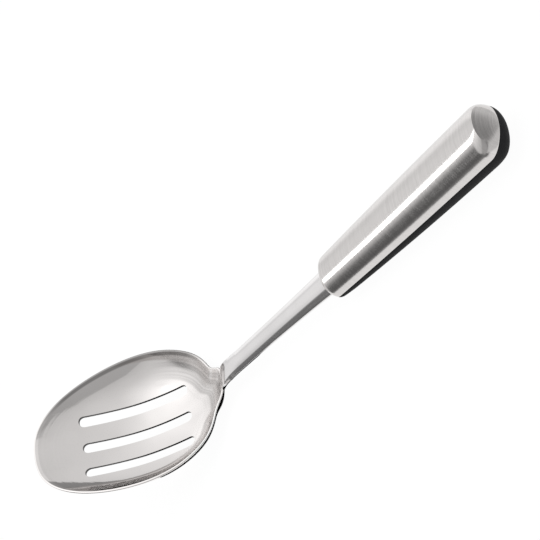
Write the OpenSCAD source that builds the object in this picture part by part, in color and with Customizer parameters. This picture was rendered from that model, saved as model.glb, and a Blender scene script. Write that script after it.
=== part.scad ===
// Slotted serving spoon: a stamped bowl with parallel slots, a crowned bar shaft with a tang, and
// a handle made of a formed steel shell and a soft underside on a moulded core.
// The spoon lies at rest on its bowl's heel and the butt of its handle, with +X towards the butt.
// Inside the file the spoon is drawn level: x runs from the bowl's tip towards the handle, and z
// is measured up from the plane of the rim. The last modules turn it into its place at rest.

/* [Bowl] */
// Length of the bowl from its tip to the crest at the neck
bowl_l = 96.8; // [80:0.2:115]
// Width of the bowl over its rim
bowl_w = 65; // [54:0.5:78]
// Depth of the bowl inside, below the rim
bowl_depth = 13.2; // [9:0.2:18]
// Thickness of the bowl's sheet
sheet_t = 1.2; // [0.8:0.1:1.6]
// Height of the crest at the neck above the rim
crest_rise = 6.4; // [4:0.2:9]

/* [Slots] */
// Number of slots side by side
slot_count = 3; // [1:1:3]
// Length of a slot from end to end
slot_l = 52.4; // [30:0.2:58]
// Width of a slot
slot_w = 5; // [3:0.1:7]
// Distance between the middle lines of two neighbouring slots
slot_pitch = 13.2; // [9:0.1:15]
// Distance from the bowl's tip to the slots
slot_start = 20.9; // [17:0.1:28]

/* [Shaft] */
// Length of the bare shaft, straight from the crest to the front of the handle
shaft_l = 86.6; // [65:0.2:120]
// Angle at which that straight line rises above the rim
shaft_rise = 32.4; // [22:0.2:42]
// Steepness of the shaft where it leaves the crest
crest_angle = 60; // [45:1:70]
// Length of the bend between the crest and the straight run
neck_l = 10.9; // [8:0.1:20]
// Height by which the end of the bend stands above the line from crest to handle
neck_arch_h = 2.5; // [0:0.1:4]
// Width of the shaft at the crest
crest_w = 10.6; // [9:0.1:13]
// Width of the shaft at its waist
waist_w = 8.2; // [7:0.1:11]
// Width of the shaft where it enters the handle
seat_w = 10.3; // [8:0.1:12]
// Height of the shaft's sides behind the bowl
neck_side_h = 2.3; // [1.6:0.1:3.2]
// Height of the shaft's sides where it enters the handle
seat_side_h = 3.8; // [3.4:0.1:4.4]
// Angle by which the shaft's sides lean out towards its underside
side_lean = 45; // [0:1:50]
// Height of the crown above the shaft's side edges
crown_h = 1.3; // [0.5:0.1:1.8]
// Rounding of the shaft's lower edges
shaft_round = 1; // [0.3:0.1:1.6]

/* [Tang] */
// Depth to which the full shaft is let into the handle
seat_l = 6; // [4:0.5:10]
// Length of the tang beyond the seat
tang_l = 78; // [50:1:95]
// Width of the tang
tang_w = 6.5; // [5:0.1:8]
// Thickness of the tang
tang_t = 3; // [2:0.1:3.2]
// Radius of the tang's rounded end
tang_end_r = 2; // [1:0.1:2.4]

/* [Handle] */
// Length of the handle
handle_l = 125.6; // [110:0.5:145]
// Angle at which the handle rises above the rim
handle_pitch = 30.7; // [20:0.1:40]
// Width of the handle at its front
front_w = 21.4; // [19:0.1:25]
// Width of the handle at its butt
butt_w = 27; // [24:0.1:32]
// Height of the handle's top above its axis, at the front
front_top_h = 8.3; // [8:0.1:10]
// Height of the handle's top above its axis, at the butt
butt_top_h = 12.1; // [10:0.1:15]
// Depth of the handle's underside below its axis, at the front
front_under_h = 7.5; // [6.6:0.1:9]
// Depth of the handle's underside below its axis, at the butt
butt_under_h = 11.6; // [9:0.1:14]
// Depth of the underside's front edge below the axis
nose_under_h = 4.6; // [4.4:0.1:6]
// Rounding of the shell's front edge
front_round = 3.4; // [2:0.1:4.5]
// Length over which the sides close round the butt
butt_round_l = 8.6; // [5:0.2:12]
// Distance by which the ridge on top stands in front of the butt's end
ridge_setback = 3.4; // [2:0.1:6]
// Length over which the underside rises at the front
under_front_l = 12; // [8:0.2:18]
// Length over which the underside rises at the butt
under_butt_l = 15; // [8:0.2:20]
// Height of the shaft's upper edges above the handle's axis
seat_top_h = 2.9; // [2.4:0.1:3.4]

/* [Handle walls] */
// Thickness of the steel shell
shell_t = 0.8; // [0.6:0.1:1.2]
// Thickness of the soft underside
grip_t = 2.4; // [1.8:0.1:3]
// Height of the shell's lower edge above the axis, at the front
split_front_h = -1; // [-2:0.1:0]
// Height of the shell's lower edge above the axis, at the butt
split_butt_h = 0.4; // [0:0.1:1]
// Clearance between pieces that are fitted together
fit_gap = 0.1; // [0.05:0.01:0.2]

/* [Hidden] */
// Names of the pieces, and the one that is drawn

// Fineness of the curves: steps between two corners of the rim, rings of the bowl, steps along
// the shaft, over its crown and round its lower edges, and steps along and around the handle
rim_steps = 5;
bowl_rings = 12;
shaft_steps = 24;
crown_steps = 8;
corner_steps = 3;
front_steps = 5;
body_steps = 8;
butt_steps = 5;
end_steps = 5;
arc_steps = 18;
core_arc_steps = 12;
round_fn = 48;
// Turns that draw the stations together near the start, near both ends or near the end
near_start = [-90, 0];
near_both = [-30, 30];
near_end = [0, 50];
// Overrun of every cut, and the small step that finds a slope
cut_over = 1;
slope_step = 0.004;

// Corners of the rim's curve from the tip to the crest, as shares of the bowl's length,
// of half its width and of the crest's rise
rim_shares = [
    [0, 0, 0], [0.02, 0.434, 0], [0.167, 0.797, 0], [0.42, 1.01, 0], [0.682, 1.015, 0],
    [0.885, 0.681, -0.02], [0.924, 0.301, 0.17], [1.003, 0.226, 1.15], [1, 0, 0.9]
];
// Place of the bowl's lowest point along its length
low_share = 0.548;
// Share of the gentle curve in the wall at the heel and at the tip
gentle_shares = [0.5, 0.35];
// Power of that gentle curve, and of the steep one above it at the heel and at the tip
gentle_power = 2;
steep_powers = [9, 5.6];
// Power with which the wall fades into a ramp at the tip, and the straightness of the ramp
tip_power = 5.9;
ramp_k = 3.2;
// Power with which the bowl's rings draw together towards the rim
ring_power = 1.5;

// Powers of the handle's oval section above and below, in which 2 would be a plain ellipse
top_power = 2.3;
under_power = 2.1;
// Share of the shaft's length over which it narrows from the crest to the waist
waist_share = 0.2;
// Share of the shaft's length over which it swells from the sheet to its full height
swell_share = 0.1;
// Power with which the shaft widens again towards the handle
widen_power = 3;
// Reach of the neck bend's two ends, as shares of the bend's length
bend_shares = [0.38, 0.34];

rim_half = [for (p = rim_shares) [p.x * bowl_l, p.y * (bowl_w - sheet_t) / 2, p.z * crest_rise]];
last_corner = len(rim_half) - 1;
rim_corners = concat(rim_half,
    [for (i = [last_corner - 1:-1:1]) [rim_half[i].x, -rim_half[i].y, rim_half[i].z]]);
rim_spans = len(rim_corners);
crest_u = rim_spans / 2;
low_x = low_share * bowl_l;
mid_depth = bowl_depth + sheet_t / 2;

function mix(a, b, t) = a + (b - a) * t;
function ease(t) = 1 - pow(1 - t, 2);
function unit(v) = v / norm(v);
function wrap(i, n) = ((i % n) + n) % n;
function flat(lists) = [for (list = lists) for (item = list) item];
function heading(angle) = [cos(angle), 0, sin(angle)];
function upright(angle) = [-sin(angle), 0, cos(angle)];
function angle_of(v) = atan2(v.z, v.x);

// A smooth closed curve that rounds the corners of its outline
function curve_point(corners, i, t) =
    let (n = len(corners), a = corners[wrap(i - 1, n)], b = corners[wrap(i, n)],
         c = corners[wrap(i + 1, n)], d = corners[wrap(i + 2, n)])
    (pow(1 - t, 3) * a + (3 * pow(t, 3) - 6 * t * t + 4) * b
        + (-3 * pow(t, 3) + 3 * t * t + 3 * t + 1) * c + pow(t, 3) * d) / 6;
function bezier(p, t) =
    pow(1 - t, 3) * p[0] + 3 * t * pow(1 - t, 2) * p[1] + 3 * t * t * (1 - t) * p[2] + pow(t, 3) * p[3];

// The bowl's sheet, at share rho of the way from its lowest point to place u on its rim
function rim(u) = curve_point(rim_corners, floor(u), u - floor(u));
function wall_rise(rho, gentle, steep) =
    gentle * pow(rho, gentle_power) + (1 - gentle) * pow(rho, steep);
function ramp_rise(rho) = (sqrt(1 + ramp_k * rho * rho) - 1) / (sqrt(1 + ramp_k) - 1);
function bowl_point(rho, u) =
    let (r = rim(u), tipward = (1 + (low_x - r.x) / norm([r.x - low_x, r.y])) / 2,
         wall = wall_rise(rho, mix(gentle_shares[0], gentle_shares[1], tipward),
                          mix(steep_powers[0], steep_powers[1], tipward)),
         rise = mix(wall, ramp_rise(rho), pow(tipward, tip_power)))
    [mix(low_x, r.x, rho), r.y * rho, mix(-mid_depth, r.z, rise)];
function bowl_out(rho, u) =
    unit(bowl_point(rho + slope_step, u) - bowl_point(rho - slope_step, u));
function bowl_up(rho, u) =
    unit(cross(bowl_out(rho, u), bowl_point(rho, u - slope_step) - bowl_point(rho, u + slope_step)));
function bowl_face(rho, u, side) = bowl_point(rho, u) + side * sheet_t / 2 * bowl_up(rho, u);
function bowl_edge(u) = bowl_point(1, u) + sheet_t / 2 * bowl_out(1, u);
function bowl_ring(rho, side) =
    [for (j = [0:rim_spans * rim_steps - 1]) bowl_face(rho, j / rim_steps, side)];
function ring_share(i) = 1 - pow(1 - i / bowl_rings, ring_power);

// The line between the shaft's two upper edges, at share u of its length: a bend, then a straight
// run; the sides hang below it and the crown rises above it
crest_p = bowl_edge(crest_u) + upright(crest_angle) * sheet_t / 2;
seat_p = crest_p + heading(shaft_rise) * shaft_l;
neck_p = crest_p + heading(shaft_rise) * neck_l + upright(shaft_rise) * neck_arch_h;
run_angle = angle_of(seat_p - neck_p);
bend = [crest_p, crest_p + heading(crest_angle) * neck_l * bend_shares[0],
    neck_p - heading(run_angle) * neck_l * bend_shares[1], neck_p];
neck_share = neck_l / shaft_l;
function shaft_point(u) = u < neck_share ? bezier(bend, u / neck_share)
    : mix(neck_p, seat_p, (u - neck_share) / (1 - neck_share));
function shaft_angle(u) =
    angle_of(shaft_point(min(1, u + slope_step)) - shaft_point(max(0, u - slope_step)));
function shaft_width(u) = waist_w + (crest_w - waist_w) * pow(max(0, 1 - u / waist_share), 2)
    + (seat_w - waist_w) * pow(u, widen_power);
function shaft_side(u) =
    mix(sheet_t, mix(neck_side_h, seat_side_h, u), ease(min(1, u / swell_share)));
function shaft_lean(u) = side_lean * min(1, u / swell_share);
function shaft_crown(u) = crown_h * min(1, u / waist_share);

// The shaft's section across its path: rounded lower edges, leaning sides and a crowned top
function shaft_outline(w, side, lean, crown, grow) =
    let (r = min(shaft_round, side / 3), x = w / 2,
         corner_x = x + ((side - r) * sin(lean) - r) / cos(lean),
         corner = [for (i = [0:corner_steps]) let (a = mix(-90, lean, i / corner_steps))
             [corner_x + (r + grow) * cos(a), r - side + (r + grow) * sin(a)]])
    concat(
        [for (i = [corner_steps:-1:0]) [-corner[i].x, corner[i].y]],
        corner,
        [for (i = [0:crown_steps]) let (a = 180 * i / crown_steps)
            [(x + grow) * cos(a), grow + crown * pow(sin(a), 2)]]);
function shaft_ring(p, angle, u) =
    [for (q = shaft_outline(shaft_width(u), shaft_side(u), shaft_lean(u), shaft_crown(u), 0))
        p + [0, q.x, 0] + upright(angle) * q.y];

// The handle's sizes at distance s from its front, along its axis, inset by a wall t
handle_p = seat_p - upright(handle_pitch) * seat_top_h;
ridge_s = handle_l - ridge_setback;
function arc_close(d, l) = d >= l ? 1 : d <= 0 ? 0 : sqrt(1 - pow(1 - d / l, 2));
function split_at(s) = mix(split_front_h, split_butt_h, s / handle_l);
function nose_cut(s, t) = (front_round - t) * (1 - arc_close(s - t, front_round - t));
function side_at(s, t) = (mix(front_w, butt_w, ease(s / handle_l)) / 2 - t - nose_cut(s, t))
    * arc_close(handle_l - t - s, butt_round_l - t);
function top_at(s, t) =
    (mix(front_top_h, butt_top_h, s / handle_l) - t - split_at(s) - nose_cut(s, t))
    * min(1, (handle_l - t - s) / ridge_setback);
function under_at(s, t) =
    (mix(nose_under_h, mix(front_under_h, butt_under_h, ease(s / handle_l)),
         arc_close(s - t, under_front_l)) - t + split_at(s))
    * arc_close(handle_l - t - s, under_butt_l - t);

// Half an oval across the handle at s, of half width w, that rises h above its edge; with both
// negative it hangs below, so that the two halves follow each other round the handle
function half_oval(s, w, h, edge, power, steps) =
    [for (i = [0:steps]) let (a = 180 * i / steps)
        [s, w * sign(cos(a)) * pow(abs(cos(a)), 2 / power),
            edge + h * pow(max(0, sin(a)), 2 / power)]];
function shell_arc(s, t, steps) =
    half_oval(s, side_at(s, t), top_at(s, t), split_at(s), top_power, steps);
function grip_arc(s, t, steps) =
    half_oval(s, -side_at(s, t), fit_gap - under_at(s, t), split_at(s) - fit_gap, under_power, steps);

// Stations along the handle from a to b, drawn together as the sine of the turn is
function spread(a, b, steps, turn) = [for (i = [1:steps])
    mix(a, b, (sin(mix(turn[0], turn[1], i / steps)) - sin(turn[0])) / (sin(turn[1]) - sin(turn[0])))];
function shell_stations(t) = concat([t],
    spread(t, front_round, front_steps, near_start),
    spread(front_round, handle_l - butt_round_l, body_steps, near_both),
    spread(handle_l - butt_round_l, ridge_s - t, butt_steps, near_end),
    [for (i = [1:end_steps]) mix(ridge_s - t, handle_l - t, ease(i / (end_steps + 1)))]);
function grip_stations(t) = concat([t],
    spread(t, under_front_l, front_steps + 1, near_start),
    spread(under_front_l, handle_l - under_butt_l, body_steps, near_both),
    [for (i = [1:butt_steps + end_steps]) mix(handle_l - under_butt_l, handle_l - t,
        ease(i / (butt_steps + end_steps + 1)))]);

// Place at rest: a line that touches the bowl's heel and the handle's butt from below
bowl_unders = [for (i = [1:bowl_rings]) each bowl_ring(ring_share(i), -1)];
handle_unders = [for (s = grip_stations(0)) handle_p + heading(handle_pitch) * s
    + upright(handle_pitch) * (split_at(s) - under_at(s, 0))];
handle_end = handle_p + heading(handle_pitch) * handle_l + upright(handle_pitch) * split_butt_h;
rest_pitch = max([for (b = bowl_unders) min([for (h = handle_unders) angle_of(h - b)])]);
rest_low = min([for (h = handle_unders) h * upright(rest_pitch)]);
rest_middle = (min([for (u = [0:rim_spans]) bowl_edge(u) * heading(rest_pitch)])
    + handle_end * heading(rest_pitch)) / 2;

// A closed solid through a row of rings, shut by a point at each end
module closed_loft(rings, start, finish) {
    n = len(rings);
    m = len(rings[0]);
    first = [for (j = [0:m - 1]) [0, 1 + j, 1 + (j + 1) % m]];
    between = [for (i = [0:n - 2]) for (j = [0:m - 1])
        let (a = 1 + i * m + j, b = 1 + i * m + (j + 1) % m) each [[a, a + m, b + m], [a, b + m, b]]];
    last = [for (j = [0:m - 1]) [1 + n * m, 1 + (n - 1) * m + (j + 1) % m, 1 + (n - 1) * m + j]];
    polyhedron(concat([start], flat(rings), [finish]), concat(first, between, last));
}

// A half-open wall between a row of outer arcs and a row of inner arcs, with a tip at the front
// and at the back of each
module half_wall(outer, inner, tips) {
    n = len(outer);
    m = len(outer[0]);
    size = n * m;
    function out(i, j) = i < 0 ? 2 * size : i >= n ? 2 * size + 1 : i * m + j;
    function in(i, j) = i < 0 ? 2 * size + 2 : i >= n ? 2 * size + 3 : size + i * m + j;
    skins = [for (i = [0:n - 2]) for (j = [0:m - 2]) each [
        [out(i, j), out(i + 1, j), out(i + 1, j + 1)], [out(i, j), out(i + 1, j + 1), out(i, j + 1)],
        [in(i, j), in(i + 1, j + 1), in(i + 1, j)], [in(i, j), in(i, j + 1), in(i + 1, j + 1)]]];
    ends = [for (j = [0:m - 2]) each [
        [out(-1, 0), out(0, j), out(0, j + 1)], [out(n, 0), out(n - 1, j + 1), out(n - 1, j)],
        [in(-1, 0), in(0, j + 1), in(0, j)], [in(n, 0), in(n - 1, j), in(n - 1, j + 1)]]];
    edges = [for (i = [-1:n - 1]) each [
        [out(i + 1, 0), out(i, 0), in(i, 0)], [out(i + 1, 0), in(i, 0), in(i + 1, 0)],
        [out(i, m - 1), out(i + 1, m - 1), in(i + 1, m - 1)],
        [out(i, m - 1), in(i + 1, m - 1), in(i, m - 1)]]];
    polyhedron(concat(flat(outer), flat(inner), tips), concat(skins, ends, edges));
}

// Places: a solid drawn along the handle's axis, and one drawn level laid down at rest
module at_handle() {
    translate(handle_p) rotate([0, -handle_pitch, 0]) children();
}

module at_rest() {
    translate([-rest_middle, 0, -rest_low]) rotate([0, rest_pitch, 0]) children();
}

module slots() {
    for (i = [0:slot_count - 1])
        translate([slot_start, (i - (slot_count - 1) / 2) * slot_pitch, -mid_depth - sheet_t - cut_over])
            linear_extrude(height = mid_depth + 2 * cut_over) {
                translate([slot_w / 2, -slot_w / 2]) square([slot_l - slot_w, slot_w]);
                for (x = [slot_w / 2, slot_l - slot_w / 2]) translate([x, 0])
                    circle(d = slot_w, $fn = round_fn);
            }
}

// The tang, drawn along +X from the front of the handle and grown by a clearance
module tang(grow) {
    reach = tang_l + cut_over;
    middle_h = seat_top_h - seat_side_h / 2;
    translate([seat_l - cut_over, 0, middle_h - tang_t / 2 - grow])
    linear_extrude(height = tang_t + 2 * grow) {
        translate([0, -tang_w / 2 - grow]) square([reach - tang_end_r, tang_w + 2 * grow]);
        translate([0, -tang_w / 2 + tang_end_r]) square([reach + grow, tang_w - 2 * tang_end_r]);
        for (side = [-1, 1]) translate([reach - tang_end_r, side * (tang_w / 2 - tang_end_r)])
            circle(r = tang_end_r + grow, $fn = round_fn);
    }
}

// Room for the shaft through the front of the handle, and for its tang behind
module shaft_room() {
    translate([-cut_over, 0, seat_top_h]) rotate([90, 0, 90])
        linear_extrude(height = cut_over + seat_l + fit_gap)
            polygon(shaft_outline(seat_w, seat_side_h, side_lean, crown_h, fit_gap));
    tang(fit_gap);
}

// The bowl: one formed sheet with a rounded lip and its slots punched straight down
module bowl() {
    rings = concat(
        [for (i = [1:bowl_rings]) bowl_ring(ring_share(i), 1)],
        [[for (j = [0:rim_spans * rim_steps - 1]) bowl_edge(j / rim_steps)]],
        [for (i = [bowl_rings:-1:1]) bowl_ring(ring_share(i), -1)]);
    color([0.80, 0.81, 0.82]) difference() {
        closed_loft(rings, [low_x, 0, -bowl_depth], [low_x, 0, -bowl_depth - sheet_t]);
        slots();
    }
}

// The shaft: it leaves the bowl's crest as thin as the sheet and thickens to the handle
module shaft() {
    seat_end = seat_p + heading(handle_pitch) * seat_l;
    rings = concat([for (i = [0:shaft_steps - 1]) let (u = i / shaft_steps)
        shaft_ring(shaft_point(u), shaft_angle(u), u)],
        [for (p = [seat_p, seat_end]) shaft_ring(p, handle_pitch, 1)]);
    color([0.74, 0.75, 0.77]) {
        closed_loft(rings, crest_p - upright(crest_angle) * sheet_t / 2,
            seat_end - upright(handle_pitch) * seat_side_h / 2);
        at_handle() tang(0);
    }
}

// The steel shell over the upper half of the handle
module handle_shell() {
    t = shell_t;
    color([0.70, 0.70, 0.69]) at_handle() difference() {
        half_wall([for (s = shell_stations(0)) shell_arc(s, 0, arc_steps)],
            [for (s = shell_stations(t)) shell_arc(s, t, arc_steps)],
            [[0, 0, split_at(0)], [handle_l, 0, split_at(handle_l)],
             [t, 0, split_at(t)], [handle_l - t, 0, split_at(handle_l - t)]]);
        shaft_room();
    }
}

// The soft underside
module grip_insert() {
    t = grip_t;
    color([0.12, 0.12, 0.13]) at_handle() difference() {
        half_wall([for (s = grip_stations(0)) grip_arc(s, 0, arc_steps)],
            [for (s = grip_stations(t)) grip_arc(s, t, arc_steps)],
            [[0, 0, split_at(0) - fit_gap], [handle_l, 0, split_at(handle_l) - fit_gap],
             [t, 0, split_at(t) - fit_gap], [handle_l - t, 0, split_at(handle_l - t) - fit_gap]]);
        shaft_room();
    }
}

// The moulded core that fills both halves of the handle and holds the tang
module handle_core() {
    upper = shell_t + fit_gap;
    lower = grip_t + fit_gap;
    rings = [for (s = grip_stations(lower))
        concat(shell_arc(s, upper, core_arc_steps), grip_arc(s, lower, core_arc_steps))];
    color([0.16, 0.16, 0.17]) at_handle() difference() {
        closed_loft(rings, [lower, 0, split_at(lower)], [handle_l - lower, 0, split_at(handle_l - lower)]);
        shaft_room();
    }
}

at_rest() bowl();
at_rest() shaft();
at_rest() handle_shell();
at_rest() handle_core();
at_rest() grip_insert();
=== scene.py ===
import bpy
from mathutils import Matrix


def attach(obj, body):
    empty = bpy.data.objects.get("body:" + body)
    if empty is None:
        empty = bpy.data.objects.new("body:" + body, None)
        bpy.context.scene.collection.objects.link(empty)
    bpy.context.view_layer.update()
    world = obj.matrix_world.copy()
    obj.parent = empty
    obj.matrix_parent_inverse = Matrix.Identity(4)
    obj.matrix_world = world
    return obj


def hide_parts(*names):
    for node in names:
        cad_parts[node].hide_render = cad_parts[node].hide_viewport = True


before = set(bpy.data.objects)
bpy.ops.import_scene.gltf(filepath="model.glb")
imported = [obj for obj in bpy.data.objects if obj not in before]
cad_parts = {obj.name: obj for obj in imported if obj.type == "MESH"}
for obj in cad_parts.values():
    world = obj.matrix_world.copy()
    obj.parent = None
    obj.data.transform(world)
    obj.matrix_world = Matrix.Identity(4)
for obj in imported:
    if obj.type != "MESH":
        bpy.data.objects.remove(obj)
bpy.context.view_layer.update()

import math

import bpy
import numpy as np
from bpy.props import (FloatProperty, FloatVectorProperty, IntProperty, PointerProperty)
from mathutils import Matrix, Vector

bl_info = {
    "name": "Slotted Serving Spoon",
    "version": (1, 0, 0),
    "blender": (4, 5, 0),
    "location": "3D View > Sidebar > Spoon",
    "description": "Dresses the packed solids of a slotted serving spoon",
    "category": "Add Mesh",
}

# Shares that give the forms their character. The rim's corners run from the tip to the crest, as
# shares of the bowl's length, of half its width and of the crest's rise.
RIM_SHARES = (
    (0, 0, 0), (0.02, 0.434, 0), (0.167, 0.797, 0), (0.42, 1.01, 0), (0.682, 1.015, 0),
    (0.885, 0.681, -0.02), (0.924, 0.301, 0.17), (1.003, 0.226, 1.15), (1, 0, 0.9),
)
# The bowl's lowest place lies at LOW_SHARE of its length. Its wall is part gentle and part steep,
# with a share and a power at the heel and at the tip, and turns into a ramp close to the tip.
LOW_SHARE = 0.548
GENTLE_SHARES = (0.5, 0.35)
GENTLE_POWER = 2
STEEP_POWERS = (9, 5.6)
TIP_POWER = 5.9
RAMP_K = 3.2
# How full the handle's two half ovals are
TOP_POWER = 2.3
UNDER_POWER = 2.1
# Where the shaft has reached its waist and its full side, how late it widens again, and how far
# the bend's two guides reach
WAIST_SHARE = 0.2
SWELL_SHARE = 0.1
WIDEN_POWER = 3
BEND_SHARES = (0.38, 0.34)
# Step for a slope, and steps, rings and stations among which the place at rest is looked for
SLOPE_STEP = 0.004
REST_STEPS = 5
REST_RINGS = 12
REST_STATIONS = 400

# Fineness of the meshes
RING_POWER = 1.5
RIM_STEPS = 24
BOWL_RINGS = 48
LIP_STEPS = 8
SHAFT_STEPS = 160
CROWN_STEPS = 28
CORNER_STEPS = 10
SIDE_STEPS = 4
ARC_STEPS = 84
NOSE_STEPS = 18
BODY_STEPS = 70
BUTT_STEPS = 30
RIDGE_STEPS = 10

# Turns, in degrees, from which an edge is drawn sharp
SHEET_CREASE = 40
SHAFT_CREASE = 50
SHELL_CREASE = 30
GRIP_CREASE = 35


# Sizes and colours.

def size(name, description, default, least=0.0):
    """A length that a user may change."""
    return FloatProperty(name=name, description=description, default=default, min=least,
                         unit="LENGTH", subtype="DISTANCE", precision=5)


def slope(name, description, degrees):
    """An angle that a user may change."""
    return FloatProperty(name=name, description=description, default=math.radians(degrees),
                         unit="ROTATION", subtype="ANGLE")


def colour(name, description, default):
    """A colour that a user may change."""
    return FloatVectorProperty(name=name, description=description, default=default,
                               size=3, min=0, max=1, subtype="COLOR")


class SPOON_PG_bowl(bpy.types.PropertyGroup):
    """Sizes of the bowl and its slots."""
    length: size("Length", "From the bowl's tip to the crest at the neck", 0.0968)
    width: size("Width", "Over the bowl's rim", 0.065)
    depth: size("Depth", "Inside, below the rim", 0.0132)
    sheet: size("Sheet", "Thickness of the bowl's sheet", 0.0012)
    crest_rise: size("Crest rise", "Height of the crest above the rim", 0.0064)
    slot_count: IntProperty(name="Slots", description="Slots side by side", default=3, min=1, max=3)
    slot_length: size("Slot length", "From end to end of a slot", 0.0524)
    slot_width: size("Slot width", "Across a slot", 0.005)
    slot_pitch: size("Slot pitch", "Between two neighbouring slots", 0.0132)
    slot_start: size("Slot start", "From the bowl's tip to the slots", 0.0209)


class SPOON_PG_shaft(bpy.types.PropertyGroup):
    """Sizes of the bare shaft."""
    length: size("Length", "Straight from the crest to the front of the handle", 0.0866)
    rise: slope("Rise", "Angle of that straight line above the rim", 32.4)
    crest_angle: slope("Crest angle", "Steepness of the shaft at the crest", 60)
    neck_length: size("Neck length", "Length of the bend behind the crest", 0.0109)
    neck_arch: size("Neck arch", "Height of the bend's end above that straight line", 0.0025)
    crest_width: size("Crest width", "Width at the crest", 0.0106)
    waist_width: size("Waist width", "Width at the waist", 0.0082)
    seat_width: size("Seat width", "Width at the handle", 0.0103)
    neck_side: size("Neck side", "Height of the sides behind the bowl", 0.0023)
    seat_side: size("Seat side", "Height of the sides at the handle", 0.0038)
    side_lean: slope("Side lean", "Angle by which the sides lean out", 45)
    crown: size("Crown", "Height of the crown above the side edges", 0.0013)
    corner: size("Corner", "Rounding of the lower edges", 0.001)
    seat_length: size("Seat length", "Depth to which the shaft is let into the handle", 0.006)
    seat_top: size("Seat top", "Height of the upper edges above the handle's axis", 0.0029)


class SPOON_PG_handle(bpy.types.PropertyGroup):
    """Sizes of the handle's shell and grip."""
    length: size("Length", "From the front to the butt", 0.1256)
    pitch: slope("Pitch", "Angle above the rim", 30.7)
    front_width: size("Front width", "Width at the front", 0.0214)
    butt_width: size("Butt width", "Width at the butt", 0.027)
    front_top: size("Front top", "Height above the axis at the front", 0.0083)
    butt_top: size("Butt top", "Height above the axis at the butt", 0.0121)
    front_under: size("Front under", "Depth below the axis at the front", 0.0075)
    butt_under: size("Butt under", "Depth below the axis at the butt", 0.0116)
    nose_under: size("Nose under", "Depth of the underside's front edge", 0.0046)
    front_round: size("Front rounding", "Rounding of the shell's front edge", 0.0034)
    butt_round: size("Butt rounding", "Length over which the sides close round the butt", 0.0086)
    ridge_setback: size("Ridge setback", "From the ridge on top to the butt's end", 0.0034)
    under_front: size("Under front", "Length over which the underside rises at the front", 0.012)
    under_butt: size("Under butt", "Length over which the underside rises at the butt", 0.015)
    shell_wall: size("Shell wall", "Thickness of the steel shell", 0.0008)
    grip_wall: size("Grip wall", "Thickness of the soft underside", 0.0024)
    split_front: size("Split at front", "Height of the shell's front lower edge", -0.001, -0.005)
    split_butt: size("Split at butt", "Height of its lower edge at the butt", 0.0004, -0.005)
    gap: size("Gap", "Clearance between fitted pieces", 0.0001)
    shell_lip: size("Shell lip", "Rounding of the shell's lower edge", 0.0003)
    grip_lip: size("Grip lip", "Rounding of the grip's upper edge", 0.0006)


class SPOON_PG_finish(bpy.types.PropertyGroup):
    """Colours and finishes."""
    bowl_steel: colour("Bowl steel", "Colour of the polished bowl", (0.812, 0.786, 0.774))
    shaft_steel: colour("Shaft steel", "Colour of the satin shaft", (0.802, 0.786, 0.784))
    shell_steel: colour("Shell steel", "Colour of the brushed shell", (0.669, 0.648, 0.637))
    grip: colour("Grip", "Colour of the soft underside", (0.02, 0.02, 0.021))
    core: colour("Core", "Colour of the moulded core", (0.012, 0.012, 0.013))
    hairline: size("Hairline", "Spacing of the brushed hairlines", 0.00035)


class SPOON_PG_stage(bpy.types.PropertyGroup):
    """Floor, lamps and world."""
    floor: colour("Floor", "Colour of the floor", (0.82, 0.82, 0.82))
    world: FloatProperty(name="World", description="Plain light from all round", default=0.55,
                         min=0, max=1, subtype="FACTOR")
    key: FloatProperty(name="Key lamp", description="Power of the large lamp overhead", default=9,
                       min=0, unit="POWER")


class SPOON_PG_settings(bpy.types.PropertyGroup):
    """Everything that shapes and colours the spoon."""
    bowl: PointerProperty(type=SPOON_PG_bowl)
    shaft: PointerProperty(type=SPOON_PG_shaft)
    handle: PointerProperty(type=SPOON_PG_handle)
    finish: PointerProperty(type=SPOON_PG_finish)
    stage: PointerProperty(type=SPOON_PG_stage)


# Forms.

def mix(a, b, t):
    """The value at share t of the way from a to b."""
    return a + (b - a) * t


def ease(t):
    """A share that sets out fast and arrives slowly."""
    return 1 - (1 - t) ** 2


def unit(v):
    return v / np.linalg.norm(v, axis=-1, keepdims=True)


def heading(angle):
    """Forward along a line that rises at an angle."""
    return np.array([math.cos(angle), 0, math.sin(angle)])


def upright(angle):
    """Square to that line, upwards."""
    return np.array([-math.sin(angle), 0, math.cos(angle)])


def angle_of(v):
    """The angle at which a direction rises."""
    return math.atan2(v[2], v[0])


def arc_close(d, length):
    """Share of a full width that a quarter round leaves at distance d from its end."""
    if d >= length:
        return 1.0
    return 0.0 if d <= 0 else math.sqrt(1 - (1 - d / length) ** 2)


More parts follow.
